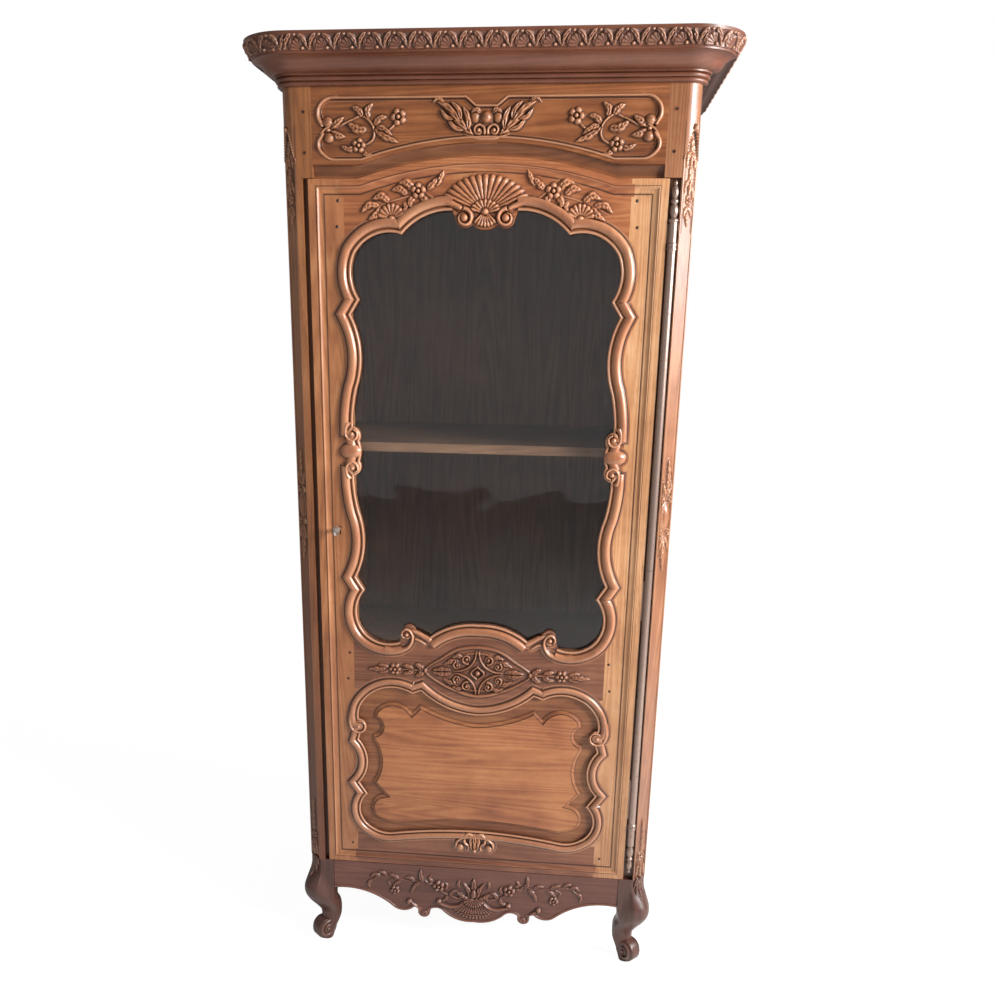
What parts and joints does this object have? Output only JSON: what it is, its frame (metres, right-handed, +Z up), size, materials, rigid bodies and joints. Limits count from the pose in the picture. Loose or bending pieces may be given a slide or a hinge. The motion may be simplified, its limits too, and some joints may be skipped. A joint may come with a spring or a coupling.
{
  "type": "display cabinet",
  "caption": "Tall carved wooden display cabinet with a single glazed and panelled door, moulded cornice, scalloped apron, cabriole front legs, long barrel hinges and a key in its lock.",
  "frame": {"origin": "on the floor at the centre of the bounding box", "axes": "+Z up, +X to the right as seen by a person facing the door, -Y out of the door towards that person"},
  "size_m": [0.97, 0.632, 2.037],
  "materials": {
    "walnut_carved": "waxed, satin",
    "carcass_board": "plain, matt",
    "glazing_bead": "waxed",
    "peg": "end grain, dark",
    "glass": "clear, old",
    "hinge_iron": "worn bright",
    "brass": "worn",
    "lock_iron": "dark, oiled",
    "key_iron": "worn bright"
  },
  "bodies": {
    "cabinet": {"front_post_left": "walnut_carved", "front_post_right": "walnut_carved", "rear_post_left": "carcass_board", "rear_post_right": "carcass_board", "frieze_rail": "walnut_carved", "apron_rail": "walnut_carved", "side_bottom_rail_left": "walnut_carved", "side_bottom_rail_right": "walnut_carved", "side_middle_rail_left": "walnut_carved", "side_middle_rail_right": "walnut_carved", "side_top_rail_left": "walnut_carved", "side_top_rail_right": "walnut_carved", "side_panel_lower_left": "walnut_carved", "side_panel_lower_right": "walnut_carved", "side_panel_upper_left": "walnut_carved", "side_panel_upper_right": "walnut_carved", "back_bottom_rail": "carcass_board", "back_top_rail": "carcass_board", "back_board_1": "carcass_board", "back_board_2": "carcass_board", "back_board_3": "carcass_board", "back_board_4": "carcass_board", "bottom_board": "carcass_board", "top_board": "carcass_board", "floor_battens": "carcass_board", "lower_shelf_battens": "carcass_board", "upper_shelf_battens": "carcass_board", "lower_shelf": "carcass_board", "upper_shelf": "carcass_board", "cornice_front": "walnut_carved", "cornice_corner_left": "walnut_carved", "cornice_corner_right": "walnut_carved", "cornice_side_left": "walnut_carved", "cornice_side_right": "walnut_carved", "frame_pegs": "peg", "side_pegs": "peg", "strike_plate": "lock_iron", "hinge_upper_frame_half": "hinge_iron", "hinge_lower_frame_half": "hinge_iron", "hinge_pins": "hinge_iron", "hinge_washers": "brass"},
    "door": {"door_stile_left": "walnut_carved", "door_stile_right": "walnut_carved", "door_top_rail": "walnut_carved", "door_middle_rail": "walnut_carved", "door_bottom_rail": "walnut_carved", "door_panel": "walnut_carved", "glass_pane": "glass", "glazing_bead_left": "glazing_bead", "glazing_bead_right": "glazing_bead", "glazing_bead_top": "glazing_bead", "glazing_bead_bottom": "glazing_bead", "door_pegs": "peg", "hinge_upper_door_half": "hinge_iron", "hinge_lower_door_half": "hinge_iron", "lock_case": "lock_iron", "lock_screws": "lock_iron"},
    "lock_bolt": {"lock_bolt": "lock_iron"},
    "key": {"key": "key_iron"}
  },
  "joints": [
    {"name": "door_hinge", "type": "hinge", "parent": "cabinet", "child": "door", "pos_m": [0.372, -0.242, 0.24], "axis": [0, 0, 1], "range_deg": [0, 110]},
    {"name": "bolt_slide", "type": "slide", "parent": "door", "child": "lock_bolt", "axis": [-1, 0, 0], "range_m": [0, 0.014]},
    {"name": "key_turn", "type": "hinge", "parent": "door", "child": "key", "pos_m": [-0.313, -0.244, 1.076], "axis": [0, 1, 0], "range_deg": [0, 180]}
  ],
  "couplings": [
    {"joint": "bolt_slide", "follows": "key_turn", "m_per_rad": 0.003819}
  ]
}
